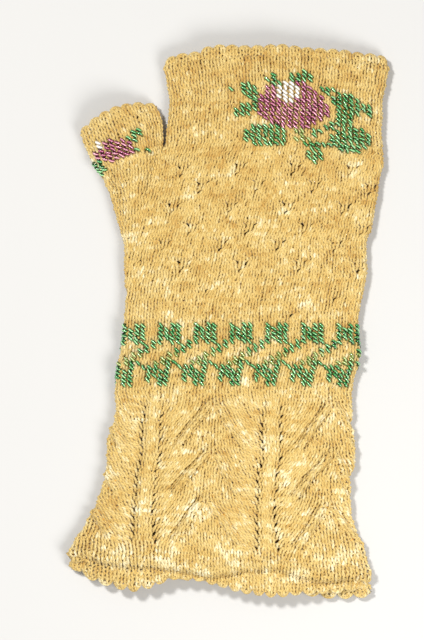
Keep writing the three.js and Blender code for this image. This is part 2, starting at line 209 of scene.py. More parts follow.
# Columns: across, lift
FINGER_EDGE = np.array([
    (0.00, -0.10), (0.05, 0.50), (0.16, 0.68), (0.19, 1.02), (0.25, 1.20), (0.39, 1.08),
    (0.52, 1.20), (0.65, 0.92), (0.78, 0.82), (0.87, 0.60), (0.96, 0.48), (1.00, -0.05)])


def read(table, column, where):
    """One column of a table at any place, eased halfway between straight and smooth."""
    where = np.clip(where, table[0, 0], table[-1, 0])
    row = np.clip(np.searchsorted(table[:, 0], where, side="left") - 1, 0, len(table) - 2)
    below = table[row]
    above = table[row + 1]
    share = (where - below[..., 0]) / (above[..., 0] - below[..., 0])
    eased = 0.5 * share + 0.5 * share * share * (3 - 2 * share)
    return below[..., column] + (above[..., column] - below[..., column]) * eased


def smooth(low, high, value):
    """An eased step from 0 to 1."""
    share = np.clip((value - low) / (high - low), 0, 1)
    return share * share * (3 - 2 * share)


def flare_at(height):
    return read(LACE_TABLE, 1, (np.asarray(height) - LACE_START) / LACE_LENGTH)


def edges_at(height):
    """Left fold, line between the gusset and the hand, and right fold at a height."""
    height = np.asarray(height, float)
    lace = (height - LACE_START) / LACE_LENGTH
    band = (height - BAND_START) / BAND_LENGTH
    palm = (height - HAND_START) / PALM_LENGTH
    finger = (height - CROTCH) / FINGER_LENGTH
    zone = np.searchsorted([BAND_START, HAND_START, CROTCH + 1e-6], height, side="right")
    width = np.choose(zone, [
        WRIST_WIDTH + (MOUTH_WIDTH - WRIST_WIDTH) * read(LACE_TABLE, 1, lace),
        WRIST_WIDTH * read(BAND_TABLE, 1, band),
        WRIST_WIDTH + (HAND_WIDTH - WRIST_WIDTH) * read(PALM_TABLE, 1, palm),
        HAND_WIDTH + (FINGER_WIDTH - HAND_WIDTH) * read(FINGER_TABLE, 1, finger)])
    middle = WRIST_WIDTH * np.choose(zone, [
        read(LACE_TABLE, 2, lace),
        read(BAND_TABLE, 2, band),
        read(PALM_TABLE, 2, palm),
        read(FINGER_TABLE, 2, finger)])
    gusset = np.where(zone == 2, GUSSET_WIDTH * read(PALM_TABLE, 3, palm), 0)
    return middle - width / 2 - gusset, middle - width / 2, middle + width / 2


def hump_between(x, start, end):
    """A flat-topped rise from fold to fold, 1 in the middle."""
    half = np.maximum((end - start) / 2 - FOLD_RADIUS, FOLD_RADIUS)
    return np.maximum(0, 1 - np.abs((x - (start + end) / 2) / half) ** HUMP_POWER)


def ripple(x, y):
    """Soft unevenness of cloth laid down by hand: waves of 20 to 70 mm, 0.4 mm high at most."""
    return (0.16 * np.sin(x / 5.1 + 0.6 * np.sin(y / 8.3)) * np.sin(y / 6.7 + 1.3)
            + 0.14 * np.sin(x / 8.9 - y / 11.0 + 2.0) + 0.1 * np.sin(x / 3.3 + y / 4.9))


def top_at(x, height):
    """Height of the upper side: one hump at the wrist, which splits into hand and thumb."""
    left, bound, right = edges_at(height)
    low = 2 * FOLD_RADIUS
    wide = (CROWN - low) * hump_between(x, left, right)
    split = smooth(HAND_START + SPLIT_START * PALM_LENGTH, CROTCH, height)
    hand = (CROWN - low) * hump_between(x, bound, right)
    thumb = (THUMB_CROWN - low) * hump_between(x, left, bound)
    own = np.where(x > bound, hand, thumb)
    split = np.where(bound - left < FOLD_RADIUS, 0, split)
    return low + wide * (1 - split) + own * split


def course(x, height):
    """How high a row that starts at a height lies across the cloth."""
    left, bound, right = edges_at(height)
    middle = (bound + right) / 2
    low = 1 - np.clip((height - LACE_START) / LACE_LENGTH, 0, 1)
    high = smooth(CROTCH - PALM_LENGTH / 2, FINGER_HEM_START, height)
    slant = math.tan(THUMB_TILT) * np.clip((height - HAND_START) / PALM_LENGTH, 0, 1)
    share = np.minimum(np.abs(x - middle) / ((right - bound) / 2), 1)
    arch = high * TOP_ARCH * ROW_ARCH * (1 - share ** 2)
    return height - low * MOUTH_SLOPE * (x - middle) + arch - slant * np.maximum(bound - x, 0)


def origin():
    """Where the mitten's own zero lies in the frame, found from the solid of the band."""
    low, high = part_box("bead_band")
    heights = np.linspace(BAND_START + HALF_GAP, HAND_START - HALF_GAP, 60)
    left, bound, right = edges_at(heights)
    middle = (left.min() + right.max()) / 2
    return np.array([(low[0] + high[0]) / 2 / MM - middle, low[1] / MM - BAND_START - HALF_GAP, 0.0])


ORIGIN = origin()
ARC_RADIUS = FOLD_RADIUS - WALL / 2
ARC = math.pi / 2 * ARC_RADIUS


def flat_tube(way, left, right, top, bottom):
    """A place in the wall of a flattened tube, a way round from its left fold over the upper layer."""
    half = (right - left) - 2 * FOLD_RADIUS + 2 * ARC
    way = np.mod(way, 2 * half)
    under = way > half
    way = np.where(under, 2 * half - way, way)
    turn = np.clip(np.minimum(way, half - way) / ARC_RADIUS, 0, math.pi / 2)
    arc = np.minimum(way, half - way) < ARC
    side = np.where(way < half / 2, -1.0, 1.0)
    inward = ARC_RADIUS * (1 - np.cos(turn))
    edge = np.where(side < 0, left + WALL / 2 + inward, right - WALL / 2 - inward)
    x = np.where(arc, edge, left + FOLD_RADIUS + way - ARC)
    slope = top(x + 0.5) - top(x - 0.5)
    z = np.where(arc, FOLD_RADIUS + ARC_RADIUS * np.sin(turn), top(x) - WALL / 2)
    out_x = np.where(arc, side * np.cos(turn), -slope / np.hypot(1, slope))
    out_z = np.where(arc, np.sin(turn), 1 / np.hypot(1, slope))
    low = FOLD_RADIUS - (FOLD_RADIUS - bottom) * np.sin(turn)
    z = np.where(under, np.where(arc, low, bottom), z)
    out_x = np.where(under & ~arc, 0, out_x)
    out_z = np.where(under, np.where(arc, -out_z, -1), out_z)
    return x, z, out_x, out_z, under


def way_round(stitch, height, gusset):
    """Stitches count from the gusset over the upper layer, 0 to 40, and back under it, 40 to 80.

    In the flare more stitches lie on the upper layer, drawn round both folds and most at the left.
    """
    left, bound, right = edges_at(height)
    half = (right - left) - 2 * FOLD_RADIUS + 2 * ARC
    start = np.maximum(bound - left, 0)
    each = start / np.maximum(gusset, 1e-6)
    flare = flare_at(height) * (height < BAND_START)
    stitch = stitch + flare * (FLARE_DRAW * np.cos(2 * np.pi * stitch / ROUND) + FLARE_TURN)
    body = (half - start) / FACE
    way = np.where(
        stitch < 0, start + stitch * np.where(gusset > 0, each, body), np.where(
            stitch < FACE, start + stitch * body, np.where(
                stitch < ROUND, half + (stitch - FACE) * body,
                2 * half - start + (stitch - ROUND) * np.where(gusset > 0, each, body))))
    return way, left, bound, right


def under_height(height):
    """The beads of the band hold the cloth a little off the table."""
    low = smooth(BAND_START - LIFT_EASE, BAND_START, height)
    high = smooth(HAND_START, HAND_START + LIFT_EASE, height)
    return UNDER_HEIGHT + BEAD_LIFT * (low * (1 - high))


def groove(way):
    """How much lower the cloth lies near the line where a hem is sewn down."""
    return HEM_GROOVE * np.exp(-(way / GROOVE_WIDTH) ** 2)


def roll(way):
    """How far the cloth bulges above the line where the cuff's hem is sewn down."""
    return HEM_ROLL * np.exp(-((way - ROLL_RISE) / ROLL_WIDTH) ** 2)


def lace_relief(stitch, height):
    """How far the lace stands out from the wall.

    The columns of holes lie low, the spine between them is raised, and a rib of decreases climbs from
    each spine to the middle of its leaf.
    """
    row = (height - LACE_START) / LACE_LENGTH * LACE_ROWS - LACE_PLAIN
    away = np.abs(np.mod(stitch - FIRST_SPINE - 0.5 + LEAF / 2, LEAF) - LEAF / 2)
    line = LEAF_LINE_START + (LEAF / 2 - LEAF_LINE_START) * np.mod(row, LEAF_ROWS) / LEAF_ROWS
    off = away - line
    rib = LEAF_RIB * np.exp(-(off / RIB_REACH) ** 2) * np.cos(2 * np.pi * off / RIB_WIDTH)
    spine = SPINE_DEPTH * (np.exp(-((away - SPINE_SIDE) / HOLE_REACH) ** 2) - 0.5 * np.exp(-away ** 2))
    share = smooth(-1, 1, row) * (1 - smooth(PATTERN_ROWS - 1, PATTERN_ROWS + 1, row))
    over = height - LACE_START + read(SEWN_LINE, 1, stitch / FACE)
    return share * (rib - spine) + roll(over) - groove(over)


def body_place(stitch, height, gusset, depth):
    """A place in the frame for a stitch of the hand or cuff, depth being counted outwards from the wall."""
    shape = np.where(gusset > 0, np.minimum(height, CROTCH), height)
    way, left, bound, right = way_round(stitch, shape, gusset)
    wall = flat_tube(way, left, right, lambda at: top_at(at, shape), under_height(shape))
    x, z, out_x, out_z, under = wall
    relief = np.where(height < BAND_START, lace_relief(stitch, height), 0)
    depth = depth + relief * np.where(under, UNDER_RELIEF, 1)
    near = smooth(CROTCH - DIP_START, CROTCH, height) * (gusset > 0)
    away = np.clip(np.abs(x - bound) / ARC_RADIUS, 0, math.pi / 2)
    dip = near * ARC_RADIUS * (1 - np.sin(away))
    y = course(x, height)
    z = z + np.where(under, dip, ripple(x, y) * np.clip(out_z, 0, 1) - dip)
    return np.stack([x + out_x * depth + ORIGIN[0], y + ORIGIN[1], z + out_z * depth], -1)


def thumb_root():
    left, bound, right = edges_at(np.array(CROTCH))
    x = (left + bound) / 2
    return float(x), float(course(x, np.array(CROTCH)))


THUMB_ROOT = thumb_root()


def thumb_frame(x, y, z):
    cos = math.cos(THUMB_TILT)
    sin = math.sin(THUMB_TILT)
    return np.stack([THUMB_ROOT[0] + x * cos - y * sin + ORIGIN[0],
                     THUMB_ROOT[1] + x * sin + y * cos + ORIGIN[1], z], -1)


def thumb_bow(x):
    return 0.5 * THUMB_ARCH * np.maximum(0, 1 - (2 * x / THUMB_WIDTH) ** 2)


def thumb_tube(stitch, height):
    rise = height / THUMB_LENGTH
    width = THUMB_WIDTH * np.where(rise > 1, 1.0, read(THUMB_TABLE, 1, rise))
    middle = THUMB_WIDTH * read(THUMB_TABLE, 2, rise)
    left = middle - width / 2
    right = middle + width / 2
    way = stitch / THUMB_FACE * (right - left - 2 * FOLD_RADIUS + 2 * ARC)
    low = 2 * FOLD_RADIUS

    def top(at):
        return low + (THUMB_CROWN - low) * hump_between(at, left, right)

    return flat_tube(way, left, right, top, UNDER_HEIGHT)


def thumb_place(stitch, height, gusset, depth):
    x, z, out_x, out_z, under = thumb_tube(stitch, height)
    y = height + thumb_bow(x) * np.minimum(height / THUMB_LENGTH, 1)
    return thumb_frame(x + out_x * depth, y, z + out_z * depth)


def scallop(stitch, deep):
    """Two stitches to each scallop."""
    return deep * (np.abs(np.sin(np.pi * stitch / 2)) ** SCALLOP_POWER - SCALLOP_LEVEL)


def hem_turn(share, reach):
    """How far out along the face, and how deep inside, a share of the turned hem lies."""
    flat = np.maximum(reach - TURN_RADIUS, 0.2)
    way = share * (reach + HEM_RETURN + math.pi * TURN_RADIUS)
    way = np.where(share == RIM, flat + math.pi / 2 * TURN_RADIUS, way)
    turn = np.clip((way - flat) / TURN_RADIUS, 0, math.pi)
    back = flat - (way - flat - math.pi * TURN_RADIUS)
    out = np.where(way < flat, way, np.where(turn < math.pi, flat + TURN_RADIUS * np.sin(turn), back))
    inside = TURN_RADIUS * (1 - np.cos(turn))
    return out, inside, turn


def hem_pinch(stitch, out, reach, each, under):
    """Towards the rim each pair of stitches spreads, which makes its scallop round."""
    rim = np.exp(-((reach - out) / PINCH_REACH) ** 2)
    return np.where(under, 1, -1) * SCALLOP_PINCH * each * rim * np.sin(np.pi * stitch)


def body_hem(stitch, share, depth, at_mouth, face_stitches):
    """A place in the cuff's or the finger hem, a share of the way from the hand over its rim and back."""
    height = np.full_like(stitch, LACE_START if at_mouth else FINGER_HEM_START)
    count = stitch * FACE / face_stitches
    way, left, bound, right = way_round(count, height, 0)
    x, z, out_x, out_z, under = flat_tube(way, left, right, lambda at: top_at(at, height), UNDER_HEIGHT)
    base = course(x, height)
    across = np.clip((x - left) / (right - left), 0, 1)
    if at_mouth:
        wave = read(MOUTH_EDGE, 1, across)
        wave = np.where(under, UNDER_WAVE * wave + UNDER_PEEP * smooth(0.68, 0.88, across), wave)
        deep = CUFF_SCALLOP * (SCALLOP_EVEN + (1 - SCALLOP_EVEN) * wave)
        reach = (CUFF_HEM_DEPTH - PICOT_DEPTH) / 2 + EDGE_WAVE * wave + scallop(stitch, deep)
    else:
        rim = FINGER_HEM_START + FINGER_HEM_DEPTH - PICOT_DEPTH + TOP_ARCH * read(FINGER_EDGE, 1, across)
        reach = rim - base + scallop(stitch, TOP_SCALLOP)
    out, inside, turn = hem_turn(share, reach)
    sewn = TOP_GROOVE * groove(out)
    if at_mouth:
        past = out - np.where(under, 0, read(SEWN_LINE, 1, count / FACE))
        sewn = groove(past) + np.where(under, 0, HEM_STEP * smooth(0, 2, past) - roll(-past))
    away = depth * np.cos(turn) - inside - sewn
    way_out = out + depth * np.sin(turn)
    y = base + (-way_out if at_mouth else way_out)
    x = x + hem_pinch(stitch, out, reach, (right - left) / face_stitches, under)
    return np.stack([x + out_x * away + ORIGIN[0], y + ORIGIN[1], z + out_z * away], -1)


def cuff_hem_place(stitch, share, gusset, depth):
    return body_hem(stitch, share, depth, True, FACE)


def finger_hem_place(stitch, share, gusset, depth):
    return body_hem(stitch, share, depth, False, FINGER_ROUND / 2)


def thumb_hem_place(stitch, share, gusset, depth):
    height = np.full_like(stitch, THUMB_LENGTH)
    x, z, out_x, out_z, under = thumb_tube(stitch, height)
    base = THUMB_LENGTH + thumb_bow(x)
    reach = THUMB_HEM_DEPTH - PICOT_DEPTH + thumb_bow(x) + scallop(stitch, TOP_SCALLOP)
    out, inside, turn = hem_turn(share, reach)
    away = depth * np.cos(turn) - inside - TOP_GROOVE * groove(out)
    x = x + hem_pinch(stitch, out, reach, THUMB_WIDTH / THUMB_FACE, under)
    return thumb_frame(x + out_x * away, base + out + depth * np.sin(turn), z + out_z * away)


# The chart: each stitch of a row lists the stitches of the row below that it is knitted into
EYELET_LEVELS = (12, 17, 21, 26, 31, 35)
EYELET_STEP = 10
EYELET_FIRST = (8, 4)
LONE_EYELETS = ((1, 28), (5, 35), (7, 13))
NARROWING = (PALM_ROW + PALM_ROWS - 2, FINGER_ROW)
NARROWED_BY = 4


def leaf_row(decrease):
    """A row of the leaf lace, 20 stitches from one spine to the next, with a hole on each side of it."""
    half = LEAF // 2
    parents = [[j] for j in range(LEAF)]
    parents[SPINE_SIDE] = []
    for j in range(SPINE_SIDE + 1, half + 1):
        if j < decrease:
            parents[j] = [j - 1]
        elif j == decrease:
            parents[j] = [j - 1, j]
    for j in range(1, half):
        parents[LEAF - j] = [LEAF - p for p in parents[j]]
    if decrease == half:
        parents[half] = [half - 1, half, half + 1]
    return parents


def lace_row(row):
    parents = [[j] for j in range(ROUND)]
    place = row - LACE_PLAIN
    if not 0 <= place < PATTERN_ROWS or place % 2:
        return parents
    leaf = leaf_row(LEAF_DECREASES[place % LEAF_ROWS // 2])
    for j in range(ROUND):
        own = (j - FIRST_SPINE) % LEAF
        parents[j] = [(j - own + p) % ROUND for p in leaf[own]]
    return parents


def add_hole(parents, hole, into):
    """A hole at one stitch, with its loop taken up by a neighbour."""
    parents[hole] = []
    parents[into] = sorted(set(parents[into] + [hole]))


def palm_row(row):
    parents = [[j] for j in range(ROUND)]
    for level, start in enumerate(EYELET_LEVELS):
        for j in range(EYELET_FIRST[level % 2], ROUND, EYELET_STEP):
            if row == start:
                add_hole(parents, j, (j + 1) % ROUND)
            if row == start + 2:
                add_hole(parents, j - 1, j - 2)
                add_hole(parents, (j + 1) % ROUND, (j + 2) % ROUND)
    for lone_row, j in LONE_EYELETS:
        if row == lone_row:
            add_hole(parents, j, j + 1)
    return parents


def narrowed(count, fewer):
    """A row that joins pairs of stitches at even steps."""
    step = count // fewer
    parents = []
    for j in range(count):
        if j % step == step - 1:
            parents[-1].append(j)
        else:
            parents.append([j])
    return parents


def draw_chart():
    rows = []
    count = ROUND
    for row in range(ALL_ROWS):
        if row < LACE_ROWS:
            parents = lace_row(row)
        elif PALM_ROW <= row < NARROWING[0]:
            parents = palm_row(row - PALM_ROW)
        elif row in NARROWING:
            parents = narrowed(count, NARROWED_BY)
        else:
            parents = [[j] for j in range(count)]
        count = len(parents)
        rows.append(parents)
    return rows


def near_turn(value, reference):
    return value - ROUND * np.round((value - reference) / ROUND)


class Row:
    """The stitches of one row: where they sit, what they hang from and what hangs on them."""

    def __init__(self, parents, spines):
        self.parents = parents
        self.count = len(parents)
        self.at = (np.arange(self.count) + 0.5) * ROUND / self.count
        widths = np.array([HOLE_WIDTH if not p else JOIN_WIDTH if len(p) > 1 else 1.0 for p in parents])
        if spines:
            own = (np.arange(self.count) - FIRST_SPINE + SPINE_SIDE) % LEAF
            widths[(own > 0) & (own < 2 * SPINE_SIDE)] = SPINE_WIDTH
        gaps = (widths + np.roll(widths, -1)) / 2
        self.gaps = gaps * ROUND / gaps.sum()
        self.first = np.array([p[0] if p else 0 for p in parents])
        self.last = np.array([p[-1] if p else 0 for p in parents])
        self.rooted = np.array([bool(p) for p in parents])
        self.joined = np.array([len(p) > 1 for p in parents])

    def roots(self, below):
        first = near_turn(below.at[self.first], self.at)
        last = near_turn(below.at[self.last], self.at)
        return np.where(self.rooted, (first + last) / 2, self.at)

    def neighbours(self):
        right = np.roll(self.at, -1)
        right[-1] += ROUND
        left = np.roll(self.at, 1)
        left[0] -= ROUND
        return left, right


def link_heads(row, above):
    """The stitch of the row above that each stitch carries."""
    head = np.full(row.count, -1)
    for j, parents in enumerate(above.parents):
        for p in parents:
            if head[p] < 0:
                head[p] = j
    row.head = head


def heads(row, above):
    return np.where(row.head >= 0, near_turn(above.at[row.head], row.at), row.at)


# How firmly a stitch is held by the one below and the one above, when each neighbour counts as 1
HOLD = 0.4
SETTLE_ROUNDS = 60
SETTLE_STEP = 0.6


def settle(rows):
    """The stitches share the round evenly and lean as little as they can."""
    for row, above in zip(rows, rows[1:]):
        link_heads(row, above)
    rows[-1].head = np.full(rows[-1].count, -1)
    for _ in range(SETTLE_ROUNDS):
        for index, row in enumerate(rows):
            left, right = row.neighbours()
            total = right - row.gaps + left + np.roll(row.gaps, 1)
            weight = np.full(row.count, 2.0)
            if index:
                total += HOLD * row.rooted * row.roots(rows[index - 1])
                weight += HOLD * row.rooted
            if index + 1 < len(rows):
                carried = row.head >= 0
                total += HOLD * carried * heads(row, rows[index + 1])
                weight += HOLD * carried
            row.at = row.at + SETTLE_STEP * (total / weight - row.at)
            row.at += ROUND / 2 - row.at.mean()


def chart_rows():
    lace = range(LACE_PLAIN, LACE_PLAIN + PATTERN_ROWS)
    rows = [Row(parents, index in lace) for index, parents in enumerate(draw_chart())]
    settle(rows)
    return rows


ROWS = chart_rows()


def row_height(index):
    if index < BAND_ROW:
        return LACE_START + LACE_LENGTH * (index + 0.5) / LACE_ROWS
    if index < PALM_ROW:
        return BAND_START + BAND_LENGTH * (index - BAND_ROW + 0.5) / BAND_ROWS
    if index < FINGER_ROW:
        return HAND_START + PALM_LENGTH * (index - PALM_ROW + 0.5) / PALM_ROWS
    return CROTCH + FINGER_LENGTH * (index - FINGER_ROW + 0.5) / FINGER_ROWS


def gusset_stitches(index):
    if not PALM_ROW <= index < FINGER_ROW:
        return 0
    left, bound, right = edges_at(np.array(row_height(index)))
    return int(round(float(bound - left) / GUSSET_STITCH))


# A knitted loop, sampled eight times from sinker to sinker
SAMPLES = 8
LOOP = -np.pi + np.arange(SAMPLES) * 2 * np.pi / SAMPLES


class Course:
    """What one row of loops needs; it starts plain and even."""

    def __init__(self, stitches, height, rise):
        self.at = np.arange(stitches) + 0.5
        self.up = np.zeros(stitches)
        self.down = np.zeros(stitches)
        self.width = np.ones(stitches)
        self.rooted = np.ones(stitches, bool)
        self.joined = np.zeros(stitches, bool)
        self.height = height
        self.rise = rise
        self.gusset = 0
        self.period = stitches
        self.half = stitches / 2


def body_course(index):
    """A row of the chart, with the gusset's stitches at both of its ends."""
    row = ROWS[index]
    pitch = (row_height(min(index + 1, ALL_ROWS - 1)) - row_height(max(index - 1, 0))) / 2
    pitch = max(pitch, LEAST_PITCH)
    rise = (pitch + LOOP_OVERLAP) / 2
    lean = rise / pitch
    count = gusset_stitches(index)
    whole = Course(row.count + 2 * count, row_height(index), rise)
    side = np.arange(count) - count + 0.5
    whole.at = np.concatenate([side, row.at, ROUND - side[::-1]])
    own = slice(count, count + row.count)
    if index + 1 < ALL_ROWS:
        whole.up[own] = (heads(row, ROWS[index + 1]) - row.at) * lean
    if index:
        whole.down[own] = (row.at - row.roots(ROWS[index - 1])) * lean
    left, right = row.neighbours()
    whole.width[own] = (right - left) / 2
    whole.rooted[own] = row.rooted
    whole.joined[own] = row.joined
    whole.gusset = count
    whole.period = ROUND + 2 * count
    whole.half = FACE
    return whole


def loops(row, depth):
    """Across, height and depth of eight places on each loop of a row."""
    count = len(row.at)
    cos = np.cos(LOOP)[None, :]
    low = np.where(row.rooted, 1.0, HOLE_LEG)[:, None]
    reach = np.where(cos >= 0, 1.0, low)
    lean = np.where(cos >= 0, row.up[:, None], row.down[:, None])
    spread = LOOP[None, :] / (2 * np.pi) + LOOP_SPREAD * np.sin(2 * LOOP)[None, :]
    jitter = chance.normal(0, WOBBLE, (count, 3))
    tall = row.rise * (1 + 0.5 * jitter[:, 2:])
    across = (row.at + jitter[:, 0])[:, None] + lean * cos * reach + row.width[:, None] * spread
    height = row.height + (jitter[:, 1] * tall[:, 0])[:, None] + cos * reach * tall
    out = np.where(row.joined, JOINED_LIFT, 0.0)[:, None] - depth * np.cos(2 * LOOP)[None, :]
    out = out + chance.normal(0, UNEVEN_DEPTH, (count, 1))
    end_across = np.roll(row.at - row.down * low[:, 0] + row.width / 2, 1)
    end_across[0] -= row.period
    end_height = np.roll(row.height - low[:, 0] * row.rise, 1)
    across[:, 0] = (across[:, 0] + end_across) / 2
    height[:, 0] = (height[:, 0] + end_height) / 2
    return across.ravel(), height.ravel(), out.ravel()


def unit(vectors):
    return vectors / np.linalg.norm(vectors, axis=-1, keepdims=True)


class Pile:
    """Collects parts of a mesh with its UV map, until it is made."""

    def __init__(self):
        self.points = []
        self.faces = []
        self.maps = []

    def mesh(self, name, material):
        points = np.concatenate(self.points) * MM
        return quad_mesh(name, points, np.concatenate(self.faces), material, np.concatenate(self.maps))


class Yarn(Pile):
    """Strands of yarn; the UV map holds the way round the strand and the length of the yarn."""

    total = 0
    length = 0.0

    def strand(self, path, out, radius, sides):
        count = len(path)
        along = unit(np.gradient(path, axis=0))
        up = unit(out - (out * along).sum(1, keepdims=True) * along)
        side = np.cross(along, up)
        angle = 2 * np.pi * np.arange(sides) / sides
        ring = np.cos(angle)[:, None] * up[:, None, :] + np.sin(angle)[:, None] * side[:, None, :]
        self.points.append((path[:, None, :] + radius[:, None, None] * ring).reshape(-1, 3))
        start = self.total + sides * np.arange(count - 1)[:, None]
        near = np.arange(sides)[None, :]
        far = (near + 1) % sides
        corners = np.stack([start + near, start + far, start + sides + far, start + sides + near], -1)
        self.faces.append(corners.reshape(-1, 4))
        step = np.linalg.norm(np.diff(path, axis=0), axis=1)
        way = self.length + np.concatenate([[0], np.cumsum(step)])
        first = np.broadcast_to(way[:-1, None], (count - 1, sides))
        second = np.broadcast_to(way[1:, None], (count - 1, sides))
        low = np.broadcast_to(near / sides, first.shape)
        high = low + 1 / sides
        quad = np.stack([low, first, high, first, high, second, low, second], -1)
        self.maps.append(quad.reshape(-1, 2) * np.array([1.0, UV_SCALE]))
        self.total += count * sides
        self.length = way[-1] + STRAND_GAP


def new_object(name, data):
    made = bpy.data.objects.new(name, data)
    bpy.context.scene.collection.objects.link(made)
    return made


def quad_mesh(name, points, faces, material, maps=None):
    data = bpy.data.meshes.new(name)
    data.vertices.add(len(points))
    data.vertices.foreach_set("co", points.astype(np.float32).ravel())
    data.loops.add(faces.size)
    data.loops.foreach_set("vertex_index", faces.astype(np.int32).ravel())
    data.polygons.add(len(faces))
    data.polygons.foreach_set("loop_start", np.arange(0, faces.size, 4, dtype=np.int32))
    data.polygons.foreach_set("loop_total", np.full(len(faces), 4, dtype=np.int32))
    data.polygons.foreach_set("use_smooth", np.ones(len(faces), dtype=bool))
    if maps is not None:
        layer = data.uv_layers.new(name="UVMap")
        layer.data.foreach_set("uv", maps.astype(np.float32).ravel())
    data.update(calc_edges=True)
    data.materials.append(material)
    return new_object(name, data)


def outward(place, across, height, gusset):
    none = np.zeros_like(across)
    return unit(place(across, height, gusset, none + 1) - place(across, height, gusset, none))


UPPER_SIDES = 5
UNDER_SIDES = 4


def knit(yarn, place, row, depth=LEG_DEPTH, thick=1.0):
    """One closed row of loops: five-sided where it shows, four-sided underneath."""
    across, height, out = loops(row, depth)
    gusset = np.full_like(across, row.gusset)
    path = place(across, height, gusset, out)
    normal = outward(place, across, height, gusset)
    uneven = np.repeat(chance.normal(0, YARN_UNEVEN, len(row.at)), SAMPLES)
    radius = YARN * thick * np.clip(1 + uneven, YARN_THINNEST, YARN_THICKEST)
    switch = SAMPLES * int((row.at < row.half).sum())
    last = len(path)
    upper = np.arange(0, switch + 1)
    under = np.arange(switch, last + 1) % last
    yarn.strand(path[upper], normal[upper], radius[upper], UPPER_SIDES)
    yarn.strand(path[under], normal[under], radius[under], UNDER_SIDES)


def knit_body(name, first, last, material):
    yarn = Yarn()
    for index in range(first, last):
        knit(yarn, body_place, body_course(index))
    return yarn.mesh(name, material)


def knit_thumb(material):
    yarn = Yarn()
    pitch = THUMB_LENGTH / THUMB_ROWS
    for index in range(THUMB_ROWS):
        row = Course(2 * THUMB_FACE, pitch * (index + 0.5), (pitch + LOOP_OVERLAP) / 2)
        knit(yarn, thumb_place, row)
    return yarn.mesh("thumb_knit", material)


def rim_strand(yarn, place, stitches):
    """A strand that runs once round the fold of a hem and rounds its scallops off."""
    across = np.linspace(0, stitches, RIM_STEPS * stitches + 1)
    none = np.zeros_like(across)
    path = place(across, none + RIM, none, none)
    normal = np.stack([none, none, none + 1], -1)
    radius = RIM_YARN * (1 + RIM_UNEVEN * np.sin(5 * across) * np.sin(3.3 * across))
    yarn.strand(path, normal, radius, UPPER_SIDES)


def knit_hem(name, place, stitches, rows, material):
    yarn = Yarn()
    for index in range(rows):
        row = Course(stitches, (index + 0.5) / rows, HEM_OVERLAP / rows)
        knit(yarn, place, row, HEM_LEG_DEPTH, HEM_YARN)
    rim_strand(yarn, place, stitches)
    return yarn.mesh(name, material)


def near_hole(index):
    """For each column of the sheet of painted shade, whether a hole of the chart lies in or beside it
    between two rows.
    """
    column = np.arange(ROUND) + 0.5
    found = np.zeros(ROUND, bool)
    for row in ROWS[index:index + 2]:
        for at in row.at[~row.rooted]:
            found |= np.abs(near_turn(at, column) - column) < 1.0
    return found


def build_painted_shade_sheet(material):
    """A sheet of painted shade behind the stitches, which fills the gaps between them but not the holes."""
    turns = np.arange(ROUND + 1.0)
    none = np.zeros_like(turns)
    rings = []
    for index in range(ALL_ROWS):
        rings.append(body_place(turns, none + row_height(index), none, none - SHADE_SHEET_DEPTH))
    columns = len(turns)
    faces = []
    for index in range(ALL_ROWS - 1):
        start = columns * index + np.arange(ROUND)[~near_hole(index)]
        faces.append(np.stack([start, start + 1, start + columns + 1, start + columns], -1))
    return quad_mesh("painted_shade_sheet", np.concatenate(rings) * MM, np.concatenate(faces), material)


# Seed beads: rings whose hole slants across the stitch that carries them
BEAD_RADIUS = 1.36
BEAD_LENGTH = 1.34
BEAD_HOLE = 0.34
BEAD_SLANT = math.radians(47)
BEAD_SEAT = 0.8
BEAD_SIDES = 10
BEAD_STRAY = 0.08
SLANT_STRAY = 0.16
TIP_STRAY = 0.12
SIZE_STRAY = 0.04
# The least height of a bead's middle over the floor, in bead radii
BEAD_REST = 1.17
# Columns: along the hole, out from it, as shares of the bead's half length and radius
BEAD_PROFILE = np.array([
    (-0.6, 0.93), (0.0, 1.0), (0.6, 0.93), (1.0, 0.68),
    (0.75, BEAD_HOLE), (-0.75, BEAD_HOLE), (-1.0, 0.68)])


class Beads(Pile):
    """Seed beads; the UV map holds the way along the hole and the bead's number."""

    count = 0

    def add(self, centre, right, up, out):
        """One bead at a place in the cloth, whose directions are given as unit vectors."""
        tilt = BEAD_SLANT + chance.normal(0, SLANT_STRAY)
        hole = unit(math.cos(tilt) * right + math.sin(tilt) * up + chance.normal(0, TIP_STRAY) * out)
        first = unit(out - (out @ hole) * hole)
        second = np.cross(hole, first)
        size = 1 + chance.normal(0, SIZE_STRAY)
        angle = 2 * np.pi * np.arange(BEAD_SIDES) / BEAD_SIDES
        spoke = np.cos(angle)[:, None] * first + np.sin(angle)[:, None] * second
        along = BEAD_PROFILE[:, 0] * BEAD_LENGTH / 2
        away = BEAD_PROFILE[:, 1] * BEAD_RADIUS * size
        ring = along[None, :, None] * hole + away[None, :, None] * spoke[:, None, :]
        self.points.append((centre + ring).reshape(-1, 3))
        sides = len(BEAD_PROFILE)
        near = np.arange(BEAD_SIDES)[:, None] * sides
        far = (near + sides) % (BEAD_SIDES * sides)
        this = np.arange(sides)[None, :]
        other = (this + 1) % sides
        corners = np.stack([near + this, near + other, far + other, far + this], -1).reshape(-1, 4)
        self.faces.append(corners + self.count * BEAD_SIDES * sides)
        share = 0.5 + 0.5 * BEAD_PROFILE[corners % sides, 0]
        self.maps.append(np.stack([share, np.full_like(share, self.count + 0.5)], -1).reshape(-1, 2))
        self.count += 1


def spot(place, stitch, height, gusset, depth=0.0):
    """One place in the cloth."""
    return place(*(np.array([value]) for value in (stitch, height, gusset, depth)))[0]


